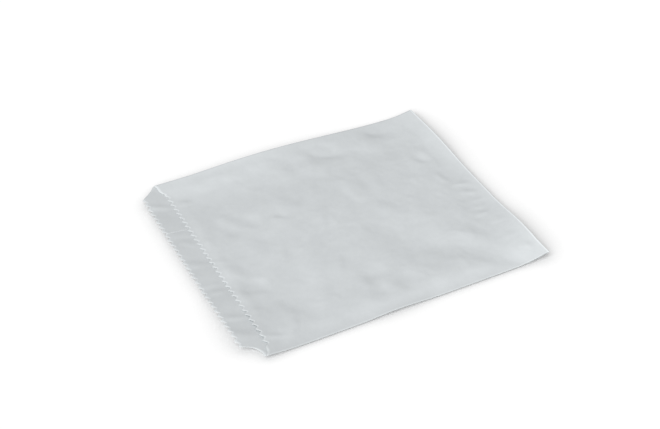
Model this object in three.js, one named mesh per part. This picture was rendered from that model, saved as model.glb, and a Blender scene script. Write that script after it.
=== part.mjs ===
// A flat paper bag, lying on its back panel: one web of thin paper wrapped into a tube, lapped and
// glued along the back, cut off with a toothed knife and closed by folding the end onto the back.
// Millimetres, +Z up. X runs across the bag, Y from the open mouth (-Y) to the folded bottom (+Y).
import * as THREE from 'three';
import { mergeVertices } from 'three/addons/utils/BufferGeometryUtils.js';

// Paper and panels
const paper = 0.06;
const glueFilm = 0.01;
const bagWidth = 165;
const bagLength = 200; // bottom fold to the tooth tips of the lip, along the middle

// Mouth, cut by a toothed knife that steps from the front panel down to the back panel's lip. The
// knife met this web a little askew.
const lipStep = 15;
const mouthSkew = 1.5; // at each side fold
const toothPitch = 4.6;
const toothDepth = 2.3;
const cornerTooth = 0.5; // the teeth nearly die out round the knife's corners

// The knife's corner at each side fold: reach on the front and on the back, drop at the fold line, and
// how strongly the cut bows on either side of it
const farCorner = { onFront: 11, onBack: 10.5, atFold: 2.8, frontBow: 2, backBow: 1.45 };
const nearCorner = { onFront: 9, onBack: 11.8, atFold: 4.2, frontBow: 0.6, backBow: 3.6 };

// Lapped seam down the back
const seamLap = 12;
const seamEdge = -48; // where the outer ply of the lap ends
const seamEase = 3; // beyond the lap the wall eases back into line

// Bottom end, folded over once and glued to the back
const flapDepth = 17;
const flapInset = 0.8; // the flap's ends stay inside the side folds
const stubDepth = flapDepth - lipStep; // the back ply's end, cut by the same knife, is turned over too
const foldReach = 0.25; // roundness of the bottom fold

// Room left inside the flattened tube
const foldGap = 0.4;
const endGap = 0.2;
const endEase = 30;
const middleGap = 2.6;
const mouthGap = 1.5;
const pressedGap = 0.05; // left between the panels in the deepest dent
const dentEase = 0.2;
const foldStiffness = 10; // dents fade out this near to a side fold

// How the lying bag lifts off the table along its four edges
const farReach = 40;
const nearReach = 26;
const bottomReach = 34;
const lipReach = 36;
const farRise = 1;
const nearRise = 1;
const bottomRise = 3.2;
const lipRise = 2.6;
const cornerShare = 0.35; // how much the lower of two lifted edges adds where they meet
const fluteLength = 27;
const fluteHeight = 0.3;
const farHumps = [
  { at: -15, reach: 100, height: 4.1 },
  { at: -95, reach: 40, height: 0.9 },
  { at: 100, reach: 28, height: 0.4 },
];
const nearHumps = [
  { at: -3, reach: 28, height: 1.2 },
  { at: -90, reach: 26, height: 0.8 },
];
const bottomHumps = [
  { at: -49, reach: 44, height: 1.8 },
  { at: 56, reach: 34, height: 2.4 },
  { at: 84, reach: 18, height: 1.2 },
];
const lipHumps = [
  { at: 62, reach: 46, height: 2 },
];

// Dents and soft ridges in the front panel. Each runs along its turn, and its flanks on the right and on
// the left of that run have their own widths.
const reliefs = [
  { x: -75, y: 66, length: 15, right: 6, left: 9, turn: 42, height: -1.2 },
  { x: -66, y: 23, length: 18, right: 5, left: 9, turn: 62, height: -1.3 },
  { x: -60, y: 46, length: 14, right: 9, left: 7, turn: 20, height: 0.6 },
  { x: -74, y: -48, length: 30, right: 9, left: 12, turn: 95, height: 0.5 },
  { x: -58, y: -8, length: 20, right: 10, left: 7, turn: 70, height: 0.5 },
  { x: -10, y: 80, length: 11, right: 4, left: 3, turn: 8, height: 0.35 },
  { x: 11, y: 86, length: 12, right: 5, left: 6, turn: 84, height: 0.4 },
  { x: 32, y: 83, length: 9, right: 4, left: 5, turn: 88, height: 0.4 },
  { x: 43, y: 66, length: 14, right: 8, left: 6, turn: 50, height: 0.9 },
  { x: 62, y: 66, length: 20, right: 6, left: 8, turn: 44, height: -1 },
  { x: 52, y: 50, length: 16, right: 7, left: 6, turn: 40, height: 0.5 },
  { x: 62, y: 11, length: 10, right: 6, left: 5, turn: 30, height: -0.7 },
  { x: 50, y: -5, length: 11, right: 5, left: 6, turn: 5, height: -0.9 },
  { x: 36, y: -17, length: 11, right: 5, left: 4, turn: -22, height: 0.6 },
  { x: 9, y: -42, length: 14, right: 6, left: 4, turn: -22, height: 0.6 },
  { x: -18, y: -29, length: 10, right: 6, left: 4, turn: 55, height: 0.6 },
  { x: -9, y: -5, length: 12, right: 5, left: 4, turn: -22, height: 0.7 },
  { x: -24, y: 27, length: 14, right: 5, left: 7, turn: 4, height: 0.6 },
  { x: -25, y: -20, length: 13, right: 4, left: 6, turn: 8, height: 0.6 },
  { x: -31, y: -60, length: 10, right: 5, left: 5, turn: 10, height: 0.6 },
  { x: -27, y: -50, length: 9, right: 5, left: 6, turn: 40, height: -0.6 },
  { x: 24, y: -27, length: 22, right: 10, left: 12, turn: -15, height: 0.6 },
  { x: 30, y: 32, length: 30, right: 16, left: 18, turn: 30, height: -0.7 },
  { x: 30, y: -72, length: 9, right: 5, left: 6, turn: 60, height: -0.9 },
  { x: 52, y: -50, length: 16, right: 8, left: 10, turn: 20, height: -0.6 },
  { x: 69, y: -63, length: 15, right: 4, left: 4, turn: -22, height: 0.6 },
  { x: -58, y: -77, length: 11, right: 4, left: 5, turn: 72, height: 0.5 },
];

// Mesh fineness
const rowStep = 8;
const foldSteps = 4;
const noseSteps = 4;
const edgeMargin = 2; // first row of columns behind the notches
const stubEase = 0.5;
const stepAside = 0.001; // keeps the two stations of a ply's edge in order

// Places that follow from the sizes
const bottomY = bagLength / 2;
const lipY = -bagLength / 2;
const frontY = lipY + lipStep; // both edges on the middle line, and askew from there
const capY = bottomY - foldReach;
const stubY = bottomY - stubDepth;
const flapY = bottomY - flapDepth;
const seamInner = seamEdge + seamLap;
const flapHalf = bagWidth / 2 - flapInset;
const seatHeight = 1.5 * paper; // the lap's outer ply touches the table
const columnCount = Math.round(bagWidth / toothPitch);
const columnStep = bagWidth / columnCount;

// A smooth hump, 1 at its middle and 0 from its reach outwards
function hump(distance, reach) {
  return Math.abs(distance) < reach ? 0.5 + 0.5 * Math.cos(Math.PI * distance / reach) : 0;
}

function humpSum(list, place) {
  return list.reduce((sum, one) => sum + one.height * hump(place - one.at, one.reach), 0);
}

// A lift that grows as a parabola from its reach out to the edge
function edgeLift(distanceIn, reach) {
  return distanceIn < reach ? (1 - distanceIn / reach) ** 2 : 0;
}

function blend(value, from, to) {
  const share = Math.min(1, Math.max(0, (value - from) / (to - from)));
  return share * share * (3 - 2 * share);
}

// Height of the back panel's middle surface. Where two lifted edges meet, the corner rises with the
// higher of them and takes a share of the other.
function backHeight(x, y) {
  const far = (farRise + humpSum(farHumps, y)) * edgeLift(bagWidth / 2 + x, farReach);
  const near = (nearRise + humpSum(nearHumps, y)) * edgeLift(bagWidth / 2 - x, nearReach);
  const bottom = (bottomRise + humpSum(bottomHumps, x)) * edgeLift(bottomY - y, bottomReach);
  const flute = fluteHeight * Math.sin(2 * Math.PI * x / fluteLength);
  const lip = (lipRise + flute + humpSum(lipHumps, x)) * edgeLift(y - lipY, lipReach);
  const side = Math.max(far, near);
  const end = Math.max(bottom, lip);
  return seatHeight + Math.max(side, end) + cornerShare * Math.min(side, end);
}

// Height of the pocket at a side fold: pressed flat towards the bottom end
function sideGap(y) {
  return endGap + (foldGap - endGap) * blend(bottomY - y, 0, endEase);
}

// Height of the pocket between the two panels' middle surfaces; a dent stops short of the back panel
function pocketGap(x, y) {
  const across = 1 - Math.min(1, (2 * x / bagWidth) ** 2);
  const along = mouthGap + (middleGap - mouthGap) * blend(y, frontY, 0);
  const inFromEnd = blend(bottomY - y, 0, endEase);
  const inFromFold = blend(bagWidth / 2 - Math.abs(x), 0, foldStiffness);
  const room = inFromEnd * (across * along + inFromFold * relief(x, y));
  return sideGap(y) + pressedGap * inFromEnd + 0.5 * (room + Math.hypot(room, dentEase * inFromEnd));
}

// Sum of the front panel's dents and ridges
function relief(x, y) {
  let sum = 0;
  for (const one of reliefs) {
    const turn = THREE.MathUtils.degToRad(one.turn);
    const dx = x - one.x;
    const dy = y - one.y;
    const along = (dx * Math.cos(turn) + dy * Math.sin(turn)) / one.length;
    const toLeft = dy * Math.cos(turn) - dx * Math.sin(turn);
    const aside = toLeft / (toLeft > 0 ? one.left : one.right);
    sum += one.height * hump(Math.hypot(along, aside), 1);
  }
  return sum;
}

// Line of the knife's tooth tips below the front edge at a place across the bag; inward is the distance
// in from the side fold, positive on the front panel and negative on the back panel
function knifeDrop(x, inward) {
  const corner = x > 0 ? nearCorner : farCorner;
  const onFront = Math.min(1, Math.max(0, inward / corner.onFront));
  const onBack = Math.min(1, Math.max(0, -inward / corner.onBack));
  return corner.atFold * (1 - onFront ** corner.frontBow)
    + (lipStep - corner.atFold) * onBack ** corner.backBow;
}

// How far the askew knife lies from a square cut
function skewAt(x) {
  return mouthSkew * 2 * x / bagWidth;
}

// Depth of the cut between two teeth, shallow round the knife's corners
function toothCut(x, inward) {
  const corner = x > 0 ? nearCorner : farCorner;
  const inCorner = inward < corner.onFront && inward > -corner.onBack;
  return inCorner ? cornerTooth : toothDepth;
}

// 1 at the bottom of each notch and 0 at each tooth tip
function notch(x) {
  const phase = (x + bagWidth / 2) / columnStep;
  return Math.abs(2 * (phase - Math.floor(phase)) - 1);
}

// Columns across a panel, ascending: one at each notch, one at each tooth tip where fine, and one at
// each edge of the lap and of the flap
function acrossPlaces(fine) {
  const places = [-flapHalf, flapHalf, seamEdge, seamInner, seamInner + seamEase];
  const fixed = [...places];
  const step = fine ? columnStep / 2 : columnStep;
  for (let x = step - bagWidth / 2; x < bagWidth / 2 - step / 2; x += step) {
    if (fixed.every((place) => Math.abs(place - x) > columnStep / 5)) places.push(x);
  }
  return places.sort((a, b) => a - b);
}

// Back columns from one flap end to the other, running towards -X and doubled where a ply ends.
// outer counts the plies added outside, shift those that the wall moves out by.
function backStations(fine) {
  const stations = [];
  for (const x of acrossPlaces(fine).reverse()) {
    const plain = { panel: 'back', x, s: -x, outer: 0, shift: 0 };
    const lapped = { ...plain, outer: 1 };
    if (x === seamInner) stations.push({ ...lapped, shift: 1 }, { ...lapped, s: stepAside - x });
    else if (x === seamEdge) stations.push(lapped, { ...plain, s: stepAside - x });
    else stations.push(x > seamEdge && x < seamInner ? lapped : plain);
  }
  return stations;
}

// Stations round a side fold, from its lower to its upper side on the left and back down on the right
function foldStations(side) {
  const stations = [];
  for (let i = 0; i <= foldSteps; i += 1) {
    const share = i / foldSteps;
    const angle = side > 0 ? 90 - 180 * share : 270 - 180 * share;
    const s = side > 0 ? bagWidth / 2 + share : share - 1 - bagWidth / 2;
    stations.push({ panel: 'fold', side, angle, s });
  }
  return stations;
}

// Stations over the front from one flap end, round both side folds, to the other flap end
function frontStations(fine) {
  const turn = bagWidth / 2 + 1 + flapInset;
  const across = acrossPlaces(fine).map((x) => ({ panel: 'front', x, s: x }));
  const leftEnd = { panel: 'back', x: -flapHalf, s: -turn, outer: 0, shift: 0 };
  const rightEnd = { ...leftEnd, x: flapHalf, s: turn };
  return [leftEnd, ...foldStations(-1), ...across, ...foldStations(1), rightEnd];
}

// Point of the wall's outer or inner face at a station
function wallPoint(station, y, outerFace) {
  const half = outerFace ? paper / 2 : -paper / 2;
  if (station.panel === 'fold') {
    const radius = sideGap(y) / 2;
    const angle = THREE.MathUtils.degToRad(station.angle);
    const x = station.side * (bagWidth / 2 - paper / 2 - radius);
    const z = backHeight(x, y) + radius;
    const reach = radius + half;
    return new THREE.Vector3(x + reach * Math.cos(angle), y, z + reach * Math.sin(angle));
  }
  const base = backHeight(station.x, y);
  if (station.panel === 'front') {
    return new THREE.Vector3(station.x, y, base + pocketGap(station.x, y) + half);
  }
  const plies = outerFace ? station.outer : station.shift;
  return new THREE.Vector3(station.x, y, base - half - plies * paper);
}

// Point under the glued flap, two plies thick where the short back ply is turned over with it
function flapPoint(station, y) {
  const plies = y < stubY ? 1 : 2;
  const point = wallPoint(station, y, true);
  point.z -= plies * paper + glueFilm;
  return point;
}

// Place across the bag, and distance in from the side fold, negative on the back panel
function acrossOf(station) {
  return station.panel === 'fold' ? station.side * bagWidth / 2 : station.x;
}

function inwardOf(station) {
  const distance = bagWidth / 2 - Math.abs(acrossOf(station));
  return station.panel === 'front' ? distance : -distance;
}

// Line of the tooth tips at the mouth, and the mouth's edge with its teeth
function mouthLine(station) {
  return frontY + skewAt(acrossOf(station)) - knifeDrop(acrossOf(station), inwardOf(station));
}

function mouthY(station) {
  const share = station.panel === 'fold' ? 1 : notch(station.x);
  return mouthLine(station) + toothCut(acrossOf(station), inwardOf(station)) * share;
}

// Edge of the glued flap, cut by the same knife
function flapEdgeY(station) {
  const inward = bagWidth / 2 - Math.abs(station.x);
  const line = flapY - skewAt(station.x) + knifeDrop(station.x, inward);
  return line + toothCut(station.x, inward) * notch(station.x);
}

// Rows up the bag between the toothed mouth edge and the flap's ends, even along each column
function bodyY(station, share) {
  const start = mouthLine(station) + toothDepth + edgeMargin;
  return start + share * (flapEndY(station) - start);
}

const positions = [];

function addTriangle(a, b, c) {
  for (const point of [a, b, c]) positions.push(point.x, point.y, point.z);
}

// Joins two rows of places; the faces look along (row's run) x (first row to second row)
function stitch(first, second) {
  let i = 0;
  let j = 0;
  while (i < first.length - 1 || j < second.length - 1) {
    const secondDone = j === second.length - 1;
    const firstNext = i < first.length - 1 && first[i + 1].s <= second[secondDone ? j : j + 1].s;
    if (secondDone || firstNext) {
      addTriangle(first[i].point, first[i + 1].point, second[j].point);
      i += 1;
    } else {
      addTriangle(first[i].point, second[j + 1].point, second[j].point);
      j += 1;
    }
  }
}

// The same faces seen from the other side of the sheet
function stitchBack(first, second) {
  const start = positions.length;
  stitch(first, second);
  for (let i = start; i < positions.length; i += 9) {
    const swap = positions.slice(i, i + 3);
    for (let k = 0; k < 3; k += 1) {
      positions[i + k] = positions[i + 3 + k];
      positions[i + 3 + k] = swap[k];
    }
  }
}

const rowOf = (stations, place) => stations.map((station) => ({ s: station.s, point: place(station) }));

const frontFine = frontStations(true);
const frontCoarse = frontStations(false);
const backFine = backStations(true);
const backCoarse = backStations(false);

// Line through the two ends of the flap's edge, and the rows from there to the bottom fold
const flapEnds = [-flapHalf, flapHalf].map((x) => flapEdgeY({ x }));
const flapEndY = (station) => THREE.MathUtils.mapLinear(acrossOf(station), -flapHalf, flapHalf, ...flapEnds);
const bodyRows = Math.round((Math.min(...flapEnds) - frontY) / rowStep);
const flapRows = [
  (station) => 0.5 * (flapEndY(station) + stubY),
  () => stubY - stubEase,
  () => stubY,
  () => capY,
];

// Both faces of the wall as rows from the mouth to the closed end; the back's row at the flap's edge is
// toothed like that edge, and past it the outer face of the back is the underside of the flap
function wallRows(outerFace) {
  const onWall = (yOf) => (station) => wallPoint(station, yOf(station), outerFace);
  const front = [rowOf(frontFine, onWall(mouthY))];
  const back = [rowOf(backFine, onWall(mouthY))];
  for (let i = 0; i < bodyRows; i += 1) {
    const line = (station) => bodyY(station, i / bodyRows);
    front.push(rowOf(frontCoarse, onWall(line)));
    back.push(rowOf(backCoarse, onWall(line)));
  }
  front.push(rowOf(frontCoarse, onWall(flapEndY)));
  back.push(rowOf(backFine, onWall(flapEdgeY)));
  const flap = [rowOf(backFine, (station) => flapPoint(station, flapEdgeY(station)))];
  for (const line of flapRows) {
    front.push(rowOf(frontCoarse, onWall(line)));
    back.push(rowOf(backCoarse, onWall(line)));
    flap.push(rowOf(backCoarse, (station) => flapPoint(station, line(station))));
  }
  return { front, back, flap };
}

// Splits a cross-section's rows at the outermost fold points into its upper and lower run, both along +X
function upperAndLower(frontRow, backRow) {
  const half = foldSteps / 2;
  const alongX = (list) => list.map(({ point }) => ({ s: point.x, point }));
  const left = frontRow.slice(0, half + 2).reverse();
  const right = frontRow.slice(-half - 2).reverse();
  const upper = frontRow.slice(half + 1, frontRow.length - half - 1);
  return [alongX(upper), alongX([...left, ...[...backRow].reverse(), ...right])];
}

// Rows that round the bottom fold off between the upper and the lower run of its cross-section
function noseRows(upper, lower) {
  const first = upper[0];
  const last = upper[upper.length - 1];
  const rows = [];
  for (let i = 1; i < noseSteps; i += 1) {
    const angle = Math.PI * i / noseSteps;
    const inner = acrossPlaces(false).map((x) => {
      const top = wallPoint({ panel: 'front', x }, capY, true).z;
      const under = flapPoint({ panel: 'back', x, outer: 0 }, capY).z;
      const z = (top + under) / 2 + Math.cos(angle) * (top - under) / 2;
      return { s: x, point: new THREE.Vector3(x, capY + foldReach * Math.sin(angle), z) };
    });
    rows.push([first, ...inner, last]);
  }
  return [upper, ...rows, lower];
}

const outside = wallRows(true);
const inside = wallRows(false);
const last = outside.front.length - 1;
const flapStart = bodyRows + 1;

for (let i = 0; i < last; i += 1) {
  stitch(outside.front[i], outside.front[i + 1]);
  stitchBack(inside.front[i], inside.front[i + 1]);
  stitchBack(inside.back[i], inside.back[i + 1]);
  if (i < flapStart) stitch(outside.back[i], outside.back[i + 1]);
  else stitch(outside.flap[i - flapStart], outside.flap[i - flapStart + 1]);
}

// Cut edge at the mouth
stitch(inside.front[0], outside.front[0]);
stitch(inside.back[0], outside.back[0]);

// Cut edges of the flap: its toothed front and its two ends
stitch(outside.back[flapStart], outside.flap[0]);
const endColumn = (rows, start, index) => rows.slice(start).map((row) => {
  const { point } = row.at(index);
  return { s: point.y, point };
});
stitch(endColumn(outside.flap, 0, 0), endColumn(outside.front, flapStart, -1));
stitch(endColumn(outside.front, flapStart, 0), endColumn(outside.flap, 0, -1));

// End of the pocket, and the rounded fold outside it
const [pocketUpper, pocketLower] = upperAndLower(inside.front[last], inside.back[last]);
stitch(pocketLower, pocketUpper);
const [upperRun, lowerRun] = upperAndLower(outside.front[last], outside.flap.at(-1));
const nose = noseRows(upperRun, lowerRun);
for (let i = 0; i < nose.length - 1; i += 1) stitch(nose[i], nose[i + 1]);

// One closed body: shared corners merged, and the empty triangles where rows meet left out
function closedGeometry() {
  const soup = new THREE.BufferGeometry();
  soup.setAttribute('position', new THREE.Float32BufferAttribute(positions, 3));
  const merged = mergeVertices(soup, paper / 20);
  const kept = [];
  const index = merged.index.array;
  for (let i = 0; i < index.length; i += 3) {
    const [a, b, c] = index.slice(i, i + 3);
    if (a !== b && b !== c && c !== a) kept.push(a, b, c);
  }
  merged.setIndex(kept);
  merged.computeVertexNormals();
  return merged;
}

const white = new THREE.MeshStandardMaterial({ color: 0xd9dee1, roughness: 0.85, metalness: 0 });
const bag = new THREE.Mesh(closedGeometry(), white);
bag.name = 'paper_bag';

// The askew lip reaches lower on one side, so the bag is set back onto the middle of its footprint
bag.geometry.computeBoundingBox();
const { min, max } = bag.geometry.boundingBox;
bag.geometry.translate(0, -(min.y + max.y) / 2, 0);

const model = new THREE.Group();
model.add(bag);

export default model;
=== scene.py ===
# A flat paper bag on a white table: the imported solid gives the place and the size, and the bag that
# shows is one web of paper, cut with teeth, wrapped, lapped, folded and creased here.
import math

import bpy
import numpy as np
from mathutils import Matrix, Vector


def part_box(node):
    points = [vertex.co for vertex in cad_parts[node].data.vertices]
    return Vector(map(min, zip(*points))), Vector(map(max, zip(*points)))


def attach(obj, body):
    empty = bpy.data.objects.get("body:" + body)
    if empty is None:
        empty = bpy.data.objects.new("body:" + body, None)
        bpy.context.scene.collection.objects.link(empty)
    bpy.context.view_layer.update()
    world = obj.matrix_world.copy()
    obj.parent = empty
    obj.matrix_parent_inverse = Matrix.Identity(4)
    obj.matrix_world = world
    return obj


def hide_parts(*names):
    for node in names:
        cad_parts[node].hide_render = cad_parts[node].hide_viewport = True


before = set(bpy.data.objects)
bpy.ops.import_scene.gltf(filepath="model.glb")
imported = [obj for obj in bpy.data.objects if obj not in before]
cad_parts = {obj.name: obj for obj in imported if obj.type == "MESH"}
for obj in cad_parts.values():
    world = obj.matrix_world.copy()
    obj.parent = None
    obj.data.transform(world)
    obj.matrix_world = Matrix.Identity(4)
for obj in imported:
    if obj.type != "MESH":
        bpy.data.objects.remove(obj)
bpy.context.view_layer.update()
bagLow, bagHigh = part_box("paper_bag")
mm = 0.001
scene = bpy.context.scene

# Sizes of the web in millimetres, as the solid has them
bagSizes = {
    "width": (bagHigh.x - bagLow.x) / mm,
    "length": 200,             # bottom fold to the tooth tips, along the middle
    "paper": 0.06,
    "lipStep": 15,
    "mouthSkew": 1.5,          # the knife met the web a little askew: this much at each side fold
    "teeth": 36,               # across one panel
    "toothDepth": 2.3,
    "cornerTooth": 0.5,        # depth of the teeth round the knife's corners
    "cornerStart": 0.6,        # which start and end this far off the straight cuts
    "lapInner": -36,           # where the inner ply of the back seam ends, in X
    "lapOuter": -48,           # and the outer ply
    "lapEase": 4,
    "plyDrop": 0.078,          # the outer ply lies this far below the inner one
    "flapDepth": 17,
    "leastEnd": 0.5,           # of the back ply past the bottom fold
    "columnsPerTooth": 4,
    "toothRows": 3,
    "rows": 141,
    "flapRows": 20,
    "bodyCrowding": 1.45,      # how much the rows crowd towards the bottom fold, from either side
    "flapCrowding": 2.0,
}
# The knife's corners, one at each side fold: reach on the front and on the back, drop at the fold line
# and how the cut bows on either side of it
farCorner = {"onFront": 11, "onBack": 10.5, "atFold": 2.8, "frontBow": 2.0, "backBow": 1.45}
nearCorner = {"onFront": 9, "onBack": 11.8, "atFold": 4.2, "frontBow": 0.6, "backBow": 3.6}
halfWidth = bagSizes["width"] / 2
bottomY = bagSizes["length"] / 2
lipY = -bottomY
frontY = lipY + bagSizes["lipStep"]
columnStep = bagSizes["width"] / bagSizes["teeth"] / bagSizes["columnsPerTooth"]
# The bag is drawn from the middle of a square-cut one and then moved to where the solid lies
setBack = bagHigh.y / mm - bottomY


# Small helpers for node trees
def addNode(tree, kind, inputs=(), **settings):
    node = tree.nodes.new(kind)
    for name, value in settings.items():
        setattr(node, name, value)
    for key, value in dict(inputs).items():
        if isinstance(value, bpy.types.NodeSocket):
            tree.links.new(value, node.inputs[key])
        else:
            node.inputs[key].default_value = value
    return node


def doMath(tree, operation, a, b=0.0, c=0.0, clamp=False):
    node = addNode(tree, "ShaderNodeMath", {0: a, 1: b, 2: c}, operation=operation, use_clamp=clamp)
    return node.outputs[0]


def newGeometryTree(name, sizes, hasGeometry):
    tree = bpy.data.node_groups.new(name, "GeometryNodeTree")
    face = tree.interface
    if hasGeometry:
        face.new_socket("Geometry", in_out="INPUT", socket_type="NodeSocketGeometry")
    for label, (value, kind) in sizes.items():
        socket = face.new_socket(label, in_out="INPUT", socket_type="NodeSocket" + kind)
        if value is not None:
            socket.default_value = value
    face.new_socket("Geometry", in_out="OUTPUT", socket_type="NodeSocketGeometry")
    return tree


def applyTree(obj, tree, values):
    modifier = obj.modifiers.new(tree.name, "NODES")
    modifier.node_group = tree
    for item in tree.interface.items_tree:
        if item.in_out == "INPUT" and item.name in values:
            modifier[item.identifier] = values[item.name]
    evaluated = obj.evaluated_get(bpy.context.evaluated_depsgraph_get())
    mesh = bpy.data.meshes.new_from_object(evaluated)
    obj.modifiers.remove(modifier)
    obj.data = mesh
    return obj


# The flat web, as it is cut: teeth at the mouth and at the tail, stepped between the panels.
# X is the place across the web, 0 at the middle of the front panel; Y is the place along it.
def buildBlankTree():
    sizes = {
        "Columns": (10, "Int"), "Rows": (10, "Int"), "Web Low": (0.0, "Float"), "Web High": (1.0, "Float"),
        "Half Width": (1.0, "Float"), "Tooth Pitch": (1.0, "Float"), "Tooth Depth": (1.0, "Float"),
        "Corner Tooth": (0.1, "Float"), "Lip Step": (1.0, "Float"), "Skew": (0.0, "Float"),
        "Front Edge": (0.0, "Float"), "Bottom Fold": (0.0, "Float"), "Flap Depth": (1.0, "Float"),
        "Fold Share": (0.9, "Float"), "Tooth Share": (0.02, "Float"), "Body Crowding": (1.0, "Float"),
        "Flap Crowding": (1.0, "Float"), "Least End": (0.1, "Float"),
        "Corner Start": (0.1, "Float"), "Paper": (None, "Material"),
    }
    for side in ("Far", "Near"):
        for label in ("On Front", "On Back", "At Fold", "Front Bow", "Back Bow"):
            sizes[side + " " + label] = (1.0, "Float")
    tree = newGeometryTree("toothedWeb", sizes, False)
    inp = tree.nodes.new("NodeGroupInput").outputs

    def calc(operation, a, b=0.0, c=0.0, clamp=False):
        return doMath(tree, operation, a, b, c, clamp)

    grid = addNode(tree, "GeometryNodeMeshGrid",
                   {"Size X": 1.0, "Size Y": 1.0, "Vertices X": inp["Columns"], "Vertices Y": inp["Rows"]})
    position = addNode(tree, "GeometryNodeInputPosition").outputs[0]
    place = addNode(tree, "ShaderNodeSeparateXYZ", {0: position})
    shareX = calc("ADD", place.outputs["X"], 0.5)
    shareY = calc("ADD", place.outputs["Y"], 0.5)
    u = calc("MULTIPLY_ADD", shareX, calc("SUBTRACT", inp["Web High"], inp["Web Low"]), inp["Web Low"])
    inward = calc("SUBTRACT", inp["Half Width"], calc("ABSOLUTE", u))

    # The knife's line: straight on each panel, bowed in two stretches across each side fold
    def cornerDrop(side):
        front = calc("DIVIDE", inward, inp[side + " On Front"], clamp=True)
        front = calc("SUBTRACT", 1.0, calc("POWER", front, inp[side + " Front Bow"]))
        back = calc("DIVIDE", calc("MULTIPLY", inward, -1.0), inp[side + " On Back"], clamp=True)
        back = calc("POWER", back, inp[side + " Back Bow"])
        deep = calc("SUBTRACT", inp["Lip Step"], inp[side + " At Fold"])
        return calc("ADD", calc("MULTIPLY", front, inp[side + " At Fold"]), calc("MULTIPLY", back, deep))

    isNear = calc("GREATER_THAN", u, 0.0)
    far = calc("MULTIPLY", cornerDrop("Far"), calc("SUBTRACT", 1.0, isNear))
    drop = calc("MULTIPLY_ADD", cornerDrop("Near"), isNear, far)
    notch = calc("PINGPONG", calc("MULTIPLY_ADD", inp["Half Width"], 3.0, u),
                 calc("MULTIPLY", inp["Tooth Pitch"], 0.5))
    notch = calc("SUBTRACT", 1.0, calc("DIVIDE", notch, calc("MULTIPLY", inp["Tooth Pitch"], 0.5)))
    inCorner = calc("MULTIPLY", calc("GREATER_THAN", drop, inp["Corner Start"]),
                    calc("LESS_THAN", drop, calc("SUBTRACT", inp["Lip Step"], inp["Corner Start"])))
    depth = calc("MULTIPLY_ADD", inCorner, calc("SUBTRACT", inp["Corner Tooth"], inp["Tooth Depth"]),
                 inp["Tooth Depth"])
    cut = calc("MULTIPLY", depth, notch)

    # The cut runs askew on the bag, so on the web it turns back at each side fold
    acrossBag = calc("PINGPONG", calc("MULTIPLY_ADD", inp["Half Width"], 5.0, u),
                     calc("MULTIPLY", inp["Half Width"], 2.0))
    acrossBag = calc("SUBTRACT", calc("DIVIDE", acrossBag, inp["Half Width"]), 1.0)
    skewed = calc("MULTIPLY", acrossBag, inp["Skew"])

    # Rows run from the mouth's edge to the fold and on to the tail's edge. The mouth's teeth fade out
    # over a few of them, and the tail's over the whole flap.
    edge = calc("ADD", calc("SUBTRACT", inp["Front Edge"], drop), skewed)
    tail = calc("ADD", inp["Bottom Fold"], inp["Flap Depth"])
    tail = calc("ADD", calc("SUBTRACT", tail, drop), skewed)
    # Notches in the back ply's short end stop before the fold line
    tail = calc("SUBTRACT", tail, calc("SUBTRACT", depth, cut))
    tail = calc("MAXIMUM", tail, calc("ADD", inp["Bottom Fold"], inp["Least End"]))
    bodyShare = calc("DIVIDE", shareY, inp["Fold Share"], clamp=True)
    flapShare = calc("DIVIDE", calc("SUBTRACT", shareY, inp["Fold Share"]),
                     calc("SUBTRACT", 1.0, inp["Fold Share"]), clamp=True)
    mouthFade = calc("SUBTRACT", 1.0, calc("DIVIDE", bodyShare, inp["Tooth Share"], clamp=True))
    # Rows crowd together at the fold line
    bodyPlace = calc("SUBTRACT", 1.0, calc("POWER", calc("SUBTRACT", 1.0, bodyShare), inp["Body Crowding"]))
    flapPlace = calc("POWER", flapShare, inp["Flap Crowding"])
    body = calc("MULTIPLY_ADD", bodyPlace, calc("SUBTRACT", inp["Bottom Fold"], edge), edge)
    onFlap = calc("MULTIPLY", flapPlace, calc("SUBTRACT", tail, inp["Bottom Fold"]))
    y = calc("ADD", calc("ADD", body, onFlap), calc("MULTIPLY", cut, mouthFade))
    where = addNode(tree, "ShaderNodeCombineXYZ", {"X": u, "Y": y})
    # The place on the flat web stays with each point, for the paper's crumple and grain
    flat = addNode(tree, "GeometryNodeStoreNamedAttribute",
                   {"Geometry": grid.outputs["Mesh"], "Name": "flatPlace", "Value": where.outputs[0]},
                   data_type="FLOAT_VECTOR", domain="POINT")
    moved = addNode(tree, "GeometryNodeSetPosition",
                    {"Geometry": flat.outputs[0], "Position": where.outputs[0]})
    real = addNode(tree, "GeometryNodeRealizeInstances", {0: moved.outputs[0]})
    done = addNode(tree, "GeometryNodeSetMaterial", {"Geometry": real.outputs[0], "Material": inp["Paper"]})
    addNode(tree, "NodeGroupOutput", {0: done.outputs[0]})
    return tree


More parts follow.
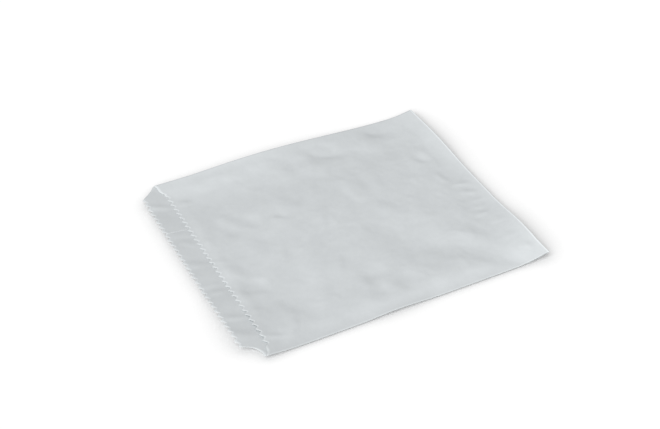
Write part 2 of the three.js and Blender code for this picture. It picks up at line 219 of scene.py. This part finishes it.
def makeBlank(paper):
    s = bagSizes
    low = round((-s["width"] - s["lapInner"]) / columnStep) * columnStep
    high = round((s["width"] - s["lapOuter"]) / columnStep) * columnStep
    blank = bpy.data.objects.new("bagBlank", bpy.data.meshes.new("bagBlank"))
    scene.collection.objects.link(blank)
    values = {
        "Columns": round((high - low) / columnStep) + 1, "Rows": s["rows"] + s["flapRows"] + 1,
        "Web Low": low, "Web High": high, "Half Width": halfWidth,
        "Tooth Pitch": s["width"] / s["teeth"], "Tooth Depth": s["toothDepth"],
        "Corner Tooth": s["cornerTooth"], "Lip Step": float(s["lipStep"]), "Skew": s["mouthSkew"],
        "Front Edge": frontY, "Bottom Fold": bottomY, "Flap Depth": float(s["flapDepth"]),
        "Fold Share": s["rows"] / (s["rows"] + s["flapRows"]), "Tooth Share": s["toothRows"] / s["rows"],
        "Body Crowding": s["bodyCrowding"], "Flap Crowding": s["flapCrowding"],
        "Least End": s["leastEnd"], "Corner Start": s["cornerStart"], "Paper": paper,
    }
    labels = {"On Front": "onFront", "On Back": "onBack", "At Fold": "atFold",
              "Front Bow": "frontBow", "Back Bow": "backBow"}
    for label, key in labels.items():
        values["Far " + label] = float(farCorner[key])
        values["Near " + label] = float(nearCorner[key])
    return applyTree(blank, buildBlankTree(), values)


# How the bag lies: humps along its four edges, as on the solid
lieOfBag = {
    "farReach": 40, "nearReach": 26, "bottomReach": 34, "lipReach": 46,
    "farRise": 1.0, "nearRise": 1.0, "bottomRise": 3.2, "lipRise": 3.0, "lipDroop": 0.1, "droopReach": 4,
    "fluteLength": 27, "fluteHeight": 0.3,
    "farHumps": [(-15, 100, 4.1), (-95, 40, 0.9), (100, 28, 0.4)],      # place, reach, height
    "nearHumps": [(-3, 28, 1.2), (-90, 26, 0.8)],
    "bottomHumps": [(-49, 44, 1.8), (56, 34, 2.4), (84, 18, 1.2)],
    "lipHumps": [(62, 46, 2.0)],
    "cornerShare": 0.35, "seatPlies": 1.8,
    "foldGap": 0.4, "endGap": 0.08, "endEase": 30, "floorGap": 0.02, "floorBend": 0.1,
    "middleGap": 2.6, "mouthGap": 0.65,
    "foldStiffness": 10, "endStiffness": 8,    # dents fade out this near to the folds
    "mouthRest": 0.14, "mouthBend": 9, "mouthCorner": (3, 14), "mouthHumps": [(60, 24, 1.0)],
    "foldAxis": 0.13,          # the bottom fold turns this far below the back panel
}

# Dents and ridges: x, y, half length, half width on the right of its run, on the left, turn, height.
# At turn 0 a relief runs along +X, so its left flank lies towards the bottom end.
frontReliefs = [
    # far side
    (-77, 68, 18, 13, 16, 45, -1.3), (-63, 56, 18, 13, 12, 45, 0.6), (-67, 24, 19, 12, 15, 62, -1.3),
    (-53, 17, 21, 13, 13, 62, 0.75),
    (-72, -50, 34, 10, 16, 92, 0.9), (-59, -8, 22, 14, 9, 72, 0.5), (-70, -16, 22, 10, 10, 60, 0.4),
    # along the bottom end
    (-46, 84, 34, 9, 6, -2, 0.35), (-32, 79, 8, 6, 8, 60, -0.35), (-10, 81, 11, 5, 4, 8, 0.25),
    (2, 87, 13, 2.4, 4.4, 88, 0.4), (11, 88, 10, 2.4, 4, 78, 0.35), (19, 92, 8, 2, 3.4, 90, 0.28),
    (25, 87, 9, 2, 3.6, 84, 0.3), (32, 83, 10, 2.6, 4.4, 88, 0.42), (43, 90, 10, 2.4, 5, 74, 0.25),
    (59, 88, 11, 2.6, 5, 102, 0.25), (70, 92, 9, 3.4, 5, 60, 0.25),
    # towards the near corner of the bottom end
    (45, 67, 15, 13, 10, 50, 0.75), (60, 64, 20, 12, 13, 46, -0.75), (50, 50, 17, 10, 11, 40, -0.5),
    (74, 76, 15, 11, 14, 30, -0.6), (75, 88, 14, 12, 8, -52, 0.5),
    # the near side falls off to its fold
    (69, 16, 100, 13, 24, 90, 0.9),
    # the middle
    (62, 13, 13, 10, 12, 20, -0.6), (50, -3, 12, 9, 11, 5, -0.9), (66, -5, 12, 10, 11, 14, -0.6),
    (35, -17, 13, 9, 4, -24, 0.38), (8, -42, 15, 10, 4, -24, 0.38), (-18, -29, 11, 10, 5, 55, 0.45),
    (-9, -6, 14, 9, 4, -24, 0.42), (-24, 24, 16, 9, 12, 4, 0.6), (-25, -22, 15, 8, 11, 8, 0.55),
    (-31, -62, 11, 7, 10, 10, 0.5), (-26, -47, 12, 10, 9, 40, -0.6), (-20, -60, 9, 5, 7, 75, -0.3),
    (1, 30, 13, 10, 11, 70, 0.4), (5, 8, 9, 3, 6, 85, 0.25), (24, -30, 24, 12, 16, -15, 0.6),
    (3, -54, 15, 10, 12, 10, 0.45), (34, 32, 34, 22, 24, 30, -1.2), (-22, 40, 18, 9, 6, -10, 0.3),
    (18, 52, 20, 12, 10, -30, 0.4),
    # along the mouth
    (29, -69, 11, 9, 10, 60, -0.9), (32, -80, 8, 5, 5, 20, 0.4), (52, -50, 20, 13, 15, 20, -0.8),
    (68, -63, 18, 9, 4.4, -24, 0.45), (70, -76, 10, 3, 4, 84, 0.42), (-59, -79, 10, 3, 4.4, 72, 0.4),
    (-19, -79, 8, 3, 5, 75, 0.25), (1, -80, 8, 3, 5, 70, 0.3), (13, -74, 9, 6, 7, 40, 0.35),
    (48, -79, 9, 3, 4, 80, 0.25),
]
lipReliefs = [
    (-62, -93, 12, 3.4, 5, 78, 0.5), (-32, -92, 13, 6, 13, 76, 0.5), (-23, -90, 9, 3.4, 5, 60, 0.3),
    (-3, -93, 12, 3.4, 5.5, 75, 0.45), (17, -93, 9, 3, 4, 80, 0.25), (25, -92, 11, 2.6, 5, 84, 0.42),
    (48, -92, 11, 2.8, 6, 86, 0.42), (63, -92, 12, 5, 7, 70, 0.4),
]


def hump(distance, reach):
    inside = np.abs(distance) < reach
    return np.where(inside, 0.5 + 0.5 * np.cos(np.pi * distance / reach), 0.0)


def humpSum(humps, place):
    return sum(height * hump(place - at, reach) for at, reach, height in humps)


def edgeLift(distanceIn, reach):
    return np.clip(1 - distanceIn / reach, 0, 1) ** 2


def blend(value, low, high):
    share = np.clip((value - low) / (high - low), 0, 1)
    return share * share * (3 - 2 * share)


# Dents and ridges of paper wander a little off their ellipses
def wander(x, y):
    shiftX = 0.8 * np.sin(0.23 * y + 0.11 * x + 0.7) + 0.4 * np.sin(0.47 * x - 0.31 * y)
    shiftY = 0.8 * np.sin(0.21 * x - 0.13 * y + 2.1) + 0.4 * np.sin(0.43 * y + 0.29 * x + 1.0)
    return x + shiftX, y + shiftY


def reliefHeight(reliefs, bagX, bagY):
    x, y = wander(bagX, bagY)
    total = np.zeros_like(x)
    for placeX, placeY, length, right, left, turn, height in reliefs:
        angle = math.radians(turn)
        dx = x - placeX
        dy = y - placeY
        along = (dx * math.cos(angle) + dy * math.sin(angle)) / length
        aside = dy * math.cos(angle) - dx * math.sin(angle)
        aside = aside / np.where(aside > 0, left, right)
        total += height * hump(np.hypot(along, aside), 1)
    return total


def backHeight(x, y):
    lie = lieOfBag
    far = (lie["farRise"] + humpSum(lie["farHumps"], y)) * edgeLift(halfWidth + x, lie["farReach"])
    near = (lie["nearRise"] + humpSum(lie["nearHumps"], y)) * edgeLift(halfWidth - x, lie["nearReach"])
    bottom = lie["bottomRise"] + humpSum(lie["bottomHumps"], x)
    bottom *= edgeLift(bottomY - y, lie["bottomReach"])
    flute = lie["fluteHeight"] * np.sin(2 * np.pi * x / lie["fluteLength"])
    lip = (lie["lipRise"] + flute + humpSum(lie["lipHumps"], x)) * edgeLift(y - lipY, lie["lipReach"])
    lip -= lie["lipDroop"] * hump(y - lipY, lie["droopReach"])
    # Where two lifted edges meet, the corner rises no more than the higher of them and part of the other
    side = np.maximum(far, near)
    end = np.maximum(bottom, lip)
    lift = np.maximum(side, end) + lie["cornerShare"] * np.minimum(side, end)
    # The lowest place of the back rests on the table with the lap's two plies
    return lie["seatPlies"] * bagSizes["paper"] + lift + reliefHeight(lipReliefs, x, y)


def sideGap(y):
    lie = lieOfBag
    return lie["endGap"] + (lie["foldGap"] - lie["endGap"]) * blend(bottomY - y, 0, lie["endEase"])


# The front panel stands off the back by this much: least at the folds, and dented and ridged between
def pocketGap(x, y):
    lie = lieOfBag
    across = 1 - np.clip((x / halfWidth) ** 2, 0, 1)
    mouth = lie["mouthGap"] + humpSum(lie["mouthHumps"], x)
    along = mouth + (lie["middleGap"] - mouth) * blend(y, frontY, 0)
    room = blend(bottomY - y, 0, lie["endEase"]) * across * along
    inFromFolds = blend(halfWidth - np.abs(x), 0, lie["foldStiffness"])
    inFromFolds *= blend(bottomY - y, 0, lie["endStiffness"])
    dented = room + reliefHeight(frontReliefs, x, y) * inFromFolds
    # A dent goes no deeper than the back panel, and meets it in a soft bend
    gap = sideGap(y) + lie["floorGap"] + 0.5 * (dented + np.sqrt(dented ** 2 + lie["floorBend"] ** 2))
    # The edge at the mouth bends down and nearly rests on the lip
    bent = blend(halfWidth - np.abs(x), *lie["mouthCorner"])
    bent *= 1 - blend(y, frontY - 1, frontY + lie["mouthBend"])
    return gap + bent * (lie["mouthRest"] + humpSum(lie["mouthHumps"], x) - gap)


# A fold of the given radius: how far a place on the paper lies from the fold's middle, and how high
def roundFold(distance, radius):
    arc = np.pi / 2 * radius
    angle = np.clip(distance / radius, -np.pi / 2, np.pi / 2)
    onArc = np.abs(distance) < arc
    out = np.where(onArc, radius * np.cos(angle), -(np.abs(distance) - arc))
    return out, radius * np.sin(angle)


# Columns of the web crowd together at the side folds, so that the folds come out round
def crowd(inward, reach, power):
    share = np.abs(inward) / reach
    return np.where(share < 1, np.sign(inward) * reach * share ** power, inward)


# Wraps the flat web into the tube and turns its tail under the bottom fold
def foldWeb(flat):
    s = bagSizes
    u, y = flat[:, 0], flat[:, 1]
    side = np.sign(u)
    inward = crowd(halfWidth - np.abs(u), 6 * columnStep, 1.7)
    turned = y > bottomY
    bagY = np.where(turned, 2 * bottomY - y, y)
    radius = sideGap(bagY) / 2
    out, rise = roundFold(inward, radius)
    arc = np.pi / 2 * radius
    out = np.where(out > 0, out, out * (halfWidth - radius) / (halfWidth - arc))
    x = side * (halfWidth - radius + out)
    onBack = inward < 0
    onFront = inward >= arc
    # Lap of the back seam: the outer ply eases down and passes under the inner one
    outerPly = onBack & (side > 0)
    lapDrop = s["plyDrop"] * (1 - blend(x, s["lapInner"], s["lapInner"] + s["lapEase"])) * outerPly
    gap = np.where(onFront, pocketGap(x, np.minimum(y, bottomY)), radius + rise)
    gap = np.where(inward <= -arc, 0, gap)
    base = backHeight(x, bagY)
    # Bottom fold: the plies turn round one axis, just under the back panel
    axis = lieOfBag["foldAxis"]
    outEnd, riseEnd = roundFold(bottomY - y, axis + gap - lapDrop)
    z = base - axis + riseEnd
    foldY = bottomY - axis - lieOfBag["endGap"]
    ends = np.where(outEnd > 0, foldY + outEnd, np.minimum(bagY, foldY))
    return np.stack([x, ends, z], 1)


# Fine crumple of the thin paper, raised and sunk by two noises over the flat web
crumpleLook = {
    "Soft Height": 0.95, "Soft Size": 24.0, "Fine Height": 0.26, "Fine Size": 9.0,
    "Crease Height": 0.2, "Crease Size": 17.0, "Seed": 3.0,
}


def buildCrumpleTree():
    sizes = {label: (value, "Float") for label, value in crumpleLook.items()}
    tree = newGeometryTree("paperCrumple", {**sizes, "Paper": (None, "Material")}, True)
    inp = tree.nodes.new("NodeGroupInput").outputs

    def calc(operation, a, b=0.0, c=0.0):
        return doMath(tree, operation, a, b, c)

    def named(label, kind):
        return addNode(tree, "GeometryNodeInputNamedAttribute", {"Name": label}, data_type=kind).outputs[0]

    flat = named("flatPlace", "FLOAT_VECTOR")

    def noise(size, detail, warp):
        spot = addNode(tree, "ShaderNodeVectorMath", {0: flat, "Scale": calc("DIVIDE", 1.0, inp[size])},
                       operation="SCALE")
        grain = addNode(tree, "ShaderNodeTexNoise",
                        {"Vector": spot.outputs[0], "W": inp["Seed"], "Scale": 1.0, "Detail": detail,
                         "Roughness": 0.5, "Distortion": warp}, noise_dimensions="4D")
        return calc("SUBTRACT", grain.outputs[0], 0.5)

    soft = calc("MULTIPLY", noise("Soft Size", 1.0, 0.3), inp["Soft Height"])
    fine = calc("MULTIPLY", noise("Fine Size", 2.0, 0.5), inp["Fine Height"])
    # Creases: the noise folded at its middle, so that it meets in lines
    crease = calc("SUBTRACT", 0.15, calc("ABSOLUTE", noise("Crease Size", 1.0, 0.8)))
    crease = calc("MULTIPLY", crease, calc("MULTIPLY", inp["Crease Height"], 4.0))
    height = calc("MULTIPLY", calc("ADD", calc("ADD", soft, fine), crease), named("crumple", "FLOAT"))
    offset = addNode(tree, "ShaderNodeCombineXYZ", {"Z": calc("MULTIPLY", height, mm)})
    moved = addNode(tree, "GeometryNodeSetPosition",
                    {"Geometry": inp["Geometry"], "Offset": offset.outputs[0]})
    real = addNode(tree, "GeometryNodeRealizeInstances", {0: moved.outputs[0]})
    done = addNode(tree, "GeometryNodeSetMaterial", {"Geometry": real.outputs[0], "Material": inp["Paper"]})
    addNode(tree, "NodeGroupOutput", {0: done.outputs[0]})
    return tree


# How freely each place of the web can crumple: full on the front panel away from the folds, less on
# the lip, and not at all where plies are pressed or glued together
crumpleRoom = {"fullGap": 1.6, "lipShare": 0.3, "fromFold": (0.5, 9), "fromEnd": (1, 16), "fromLip": 30,
               "lipFade": 12, "offLap": (7, 14)}


def crumpleShare(flat):
    freedom = crumpleRoom
    u, y = flat[:, 0], flat[:, 1]
    inward = halfWidth - np.abs(u)
    x = np.clip(u, -halfWidth, halfWidth)
    room = pocketGap(x, np.minimum(y, bottomY))
    front = np.clip(room / freedom["fullGap"], 0, 1)
    front *= blend(inward, *freedom["fromFold"]) * blend(bottomY - y, *freedom["fromEnd"])
    lip = freedom["lipShare"] * blend(-inward, *freedom["fromFold"])
    lip *= blend(lipY + freedom["fromLip"] - y, 0, freedom["lipFade"])
    backX = np.sign(u) * (halfWidth + inward)
    lapMiddle = (bagSizes["lapInner"] + bagSizes["lapOuter"]) / 2
    offLap = blend(np.abs(backX - lapMiddle), *freedom["offLap"])
    return np.where(inward > 0, front, lip * offLap)


# The tone of the thin paper, as shares of its colour: glue and plies show through it, a single ply and the
# edges that stand clear of the table are made lighter as painted light, and folds and cut edges carry
# painted highlights
toneLook = {
    # All but the seam and the flap are painted light and painted highlights, not the paper's own colour
    "seam": -0.022, "flap": 0.015, "nearPaintedLight": 0.07, "nearCorner": 0.03, "farPaintedLight": 0.045,
    "lip": 0.045, "foldPaintedHighlight": 0.5, "cutEdgePaintedHighlight": 0.07,
}
# Where each tone comes in, from nothing to full
tonePlaces = {
    "nearPaintedLightX": (60, 74), "nearPaintedLightY": (-90, 60), "nearCornerPaintedX": (50, 72), "nearCornerPaintedY": (70, 88),
    "farPaintedLightX": (60, 76), "farPaintedLightY": (-25, 15), "lipPaintedLightX": (20, 50), "foldReach": (0.2, 1.1),
    "lapEase": 10, "lapInside": 4, "lapEnd": (-1.5, 1), "flapEnd": (-1, 2),
}


def plyToneAndPaintedLight(flat):
    s, look, at = bagSizes, toneLook, tonePlaces
    u, y = flat[:, 0], flat[:, 1]
    onBack = np.abs(u) > halfWidth
    x = np.where(onBack, np.sign(u) * 2 * halfWidth - u, u)
    overFlap = blend(y - bottomY + s["flapDepth"], *at["flapEnd"])
    overLap = blend(x - s["lapOuter"], -at["lapEase"], at["lapInside"])
    overLap *= (1 - blend(x - s["lapInner"], *at["lapEnd"])) * (1 - overFlap)
    tone = look["seam"] * overLap + look["flap"] * overFlap
    # Painted light: lighter strips along the near and far sides, at the near corner of the bottom end and
    # on the lip
    tone += look["nearPaintedLight"] * blend(x, *at["nearPaintedLightX"]) * blend(y, *at["nearPaintedLightY"]) * (1 - onBack)
    tone += look["nearCorner"] * blend(x, *at["nearCornerPaintedX"]) * blend(y, *at["nearCornerPaintedY"])
    tone += look["farPaintedLight"] * blend(-x, *at["farPaintedLightX"]) * (1 - blend(y, *at["farPaintedLightY"])) * (1 - onBack)
    tone += look["lip"] * blend(x, *at["lipPaintedLightX"]) * onBack
    # Painted highlight along the bottom fold
    tone += look["foldPaintedHighlight"] * (1 - blend(np.abs(y - bottomY), *at["foldReach"]))
    # The mesh runs along the web in rows, and its first and last are the cut edges, which get a painted
    # highlight
    rows = s["rows"] + s["flapRows"]
    row = np.arange(len(flat)) % (rows + 1)
    return tone + look["cutEdgePaintedHighlight"] * ((row == 0) | (row == rows))


def storeValues(mesh, name, values):
    attribute = mesh.attributes.new(name, "FLOAT", "POINT")
    attribute.data.foreach_set("value", values.astype(np.float32))


def shapePaper(paper):
    blank = makeBlank(paper)
    mesh = blank.data
    flat = np.zeros(len(mesh.vertices) * 3)
    mesh.vertices.foreach_get("co", flat)
    flat = flat.reshape(-1, 3)
    folded = foldWeb(flat)
    folded[:, 1] += setBack
    mesh.vertices.foreach_set("co", (folded * mm).ravel())
    storeValues(mesh, "crumple", crumpleShare(flat))
    storeValues(mesh, "plyToneAndPaintedLight", plyToneAndPaintedLight(flat))
    mesh.update()
    return applyTree(blank, buildCrumpleTree(), {**crumpleLook, "Paper": paper})


def finishBag(bag):
    bag.name = "paperBag"
    bag.data.name = "paperBag"
    thick = bag.modifiers.new("wall", "SOLIDIFY")
    thick.thickness = bagSizes["paper"] * mm
    thick.offset = 0
    thick.use_even_offset = False
    sheetFaces = len(bag.data.polygons)
    evaluated = bag.evaluated_get(bpy.context.evaluated_depsgraph_get())
    mesh = bpy.data.meshes.new_from_object(evaluated)
    # Both sides of the sheet are smooth, and the cut edges round it, which come last, stay flat
    for polygon in mesh.polygons:
        polygon.use_smooth = polygon.index < 2 * sheetFaces
    bag.modifiers.clear()
    bag.data = mesh
    return bag


# Paper: thin bleached tissue, cloudy with fibre
paperLook = {
    "color": (0.602, 0.629, 0.642), "roughness": 0.85,
    "cloudSize": 11.0, "cloudContrast": 0.05, "fleckSize": 3.0, "fleckContrast": 0.03,
    "fibreSize": 0.45, "fibreDepth": 0.03,
}


def paperMaterial():
    look = paperLook
    material = bpy.data.materials.new("whitePaper")
    material.use_nodes = True
    tree = material.node_tree
    shader = tree.nodes["Principled BSDF"]
    shader.inputs["Roughness"].default_value = look["roughness"]
    flat = addNode(tree, "ShaderNodeAttribute", attribute_name="flatPlace").outputs["Vector"]
    # The stored tone holds the plies' own tone together with the painted light and painted highlights
    stored = addNode(tree, "ShaderNodeAttribute", attribute_name="plyToneAndPaintedLight").outputs["Fac"]

    def cloud(size, detail):
        grain = addNode(tree, "ShaderNodeTexNoise",
                        {"Vector": flat, "Scale": 1 / size, "Detail": detail, "Roughness": 0.55})
        return grain.outputs[0]

    def lighter(amount, share, contrast):
        centred = doMath(tree, "SUBTRACT", share, 0.5)
        return doMath(tree, "MULTIPLY_ADD", centred, contrast * 2, amount)

    tone = doMath(tree, "ADD", stored, 1.0)
    tone = lighter(tone, cloud(look["cloudSize"], 3.0), look["cloudContrast"])
    tone = lighter(tone, cloud(look["fleckSize"], 2.0), look["fleckContrast"])
    color = addNode(tree, "ShaderNodeVectorMath", {0: look["color"], "Scale": tone}, operation="SCALE")
    tree.links.new(color.outputs[0], shader.inputs["Base Color"])
    fibre = addNode(tree, "ShaderNodeBump", {"Height": cloud(look["fibreSize"], 4.0), "Strength": 0.25,
                                             "Distance": look["fibreDepth"] * mm})
    tree.links.new(fibre.outputs[0], shader.inputs["Normal"])
    return material


# Table, lights and camera
studio = {
    "table": 3.0,                       # metres across
    "keyFrom": (0.6, -0.85, 1.0), "keySpread": 60, "keyShare": 0.6,
    "bottomLean": (0, -0.8, 0.6), "mouthLean": (0, 0.7, 0.7), "bottomShade": 0.85, "mouthShade": 0.5,
    "shadeReach": 0.03, "shadeFade": 1.0, "shadeGain": 0.9, "tableTone": 1.05,
    "cameraTarget": (-0.0105, 0.0001, 0.001), "cameraAzimuth": 62.19, "cameraElevation": 40.26,
    "cameraDistance": 0.7498, "cameraRoll": 1.014, "cameraLens": 65.49,
}


def makeTable():
    half = studio["table"] / 2
    mesh = bpy.data.meshes.new("table")
    corners = [(-half, -half, 0), (half, -half, 0), (half, half, 0), (-half, half, 0)]
    mesh.from_pydata(corners, [], [(0, 1, 2, 3)])
    table = bpy.data.objects.new("table", mesh)
    scene.collection.objects.link(table)
    material = bpy.data.materials.new("tableWhite")
    material.use_nodes = True
    tree = material.node_tree
    tree.nodes.clear()
    plain = addNode(tree, "ShaderNodeBsdfDiffuse", {"Color": (0.8, 0.8, 0.8, 1)})
    # The table looks plain white and keeps the soft shade round the bag, which is shaded a little
    # further out at the bag's two ends than the light alone would shade it

    def openTowards(lean):
        towards = addNode(tree, "ShaderNodeCombineXYZ", dict(zip("XYZ", lean)))
        around = addNode(tree, "ShaderNodeAmbientOcclusion",
                         {"Distance": studio["shadeReach"], "Normal": towards.outputs[0]}, samples=16)
        return around.outputs["AO"]

    bottomShare = doMath(tree, "SUBTRACT", 1.0, openTowards(studio["bottomLean"]))
    mouthShare = doMath(tree, "SUBTRACT", 1.0, openTowards(studio["mouthLean"]))
    bottomPart = doMath(tree, "MULTIPLY", bottomShare, studio["bottomShade"])
    covered = doMath(tree, "MULTIPLY_ADD", mouthShare, studio["mouthShade"], bottomPart)
    faded = doMath(tree, "MULTIPLY", covered, studio["shadeFade"])
    deeper = doMath(tree, "SUBTRACT", 1.0, faded, clamp=True)
    extra = doMath(tree, "MULTIPLY", doMath(tree, "MULTIPLY", covered, deeper), studio["shadeGain"])
    shade = doMath(tree, "MULTIPLY_ADD", extra, -studio["tableTone"], studio["tableTone"])
    tone = addNode(tree, "ShaderNodeCombineColor", {"Red": shade, "Green": shade, "Blue": shade})
    bright = addNode(tree, "ShaderNodeBsdfDiffuse", {"Color": tone.outputs[0]})
    path = tree.nodes.new("ShaderNodeLightPath")
    mix = addNode(tree, "ShaderNodeMixShader",
                  {0: path.outputs["Is Camera Ray"], 1: plain.outputs[0], 2: bright.outputs[0]})
    addNode(tree, "ShaderNodeOutputMaterial", {0: mix.outputs[0]})
    table.data.materials.append(material)


def makeLights():
    # Sky and key together light a flat white sheet to plain white
    world = bpy.data.worlds.new("softSky")
    world.use_nodes = True
    tree = world.node_tree
    tree.nodes.clear()
    sky = addNode(tree, "ShaderNodeBackground", {"Color": (1, 1, 1, 1), "Strength": 1 - studio["keyShare"]})
    seen = addNode(tree, "ShaderNodeBackground", {"Color": (1, 1, 1, 1), "Strength": 1.0})
    path = tree.nodes.new("ShaderNodeLightPath")
    mix = addNode(tree, "ShaderNodeMixShader",
                  {0: path.outputs["Is Camera Ray"], 1: sky.outputs[0], 2: seen.outputs[0]})
    addNode(tree, "ShaderNodeOutputWorld", {0: mix.outputs[0]})
    scene.world = world
    toLight = Vector(studio["keyFrom"]).normalized()
    lamp = bpy.data.lights.new("softbox", "SUN")
    lamp.angle = math.radians(studio["keySpread"])
    lamp.energy = studio["keyShare"] * math.pi / toLight.z
    light = bpy.data.objects.new("softbox", lamp)
    light.rotation_euler = (-toLight).to_track_quat("-Z", "Y").to_euler()
    scene.collection.objects.link(light)


def makeCamera():
    azimuth = math.radians(studio["cameraAzimuth"])
    elevation = math.radians(studio["cameraElevation"])
    away = Vector((math.sin(azimuth) * math.cos(elevation), -math.cos(azimuth) * math.cos(elevation),
                   math.sin(elevation)))
    camera = bpy.data.objects.new("camera", bpy.data.cameras.new("camera"))
    target = Vector(studio["cameraTarget"]) + Vector((0, setBack * mm, 0))
    camera.location = target + away * studio["cameraDistance"]
    camera.rotation_euler = (-away).to_track_quat("-Z", "Y").to_euler()
    camera.rotation_euler.rotate_axis("Z", math.radians(studio["cameraRoll"]))
    camera.data.sensor_width = 36
    camera.data.lens = studio["cameraLens"]
    camera.data.clip_start = 0.01
    scene.collection.objects.link(camera)
    scene.camera = camera


scene.view_settings.view_transform = "Standard"
makeCamera()
makeTable()
makeLights()
print("camera, table and lights are set")
bag = finishBag(shapePaper(paperMaterial()))
print("bag folded:", len(bag.data.polygons), "faces")
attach(bag, "root")
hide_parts("paper_bag")
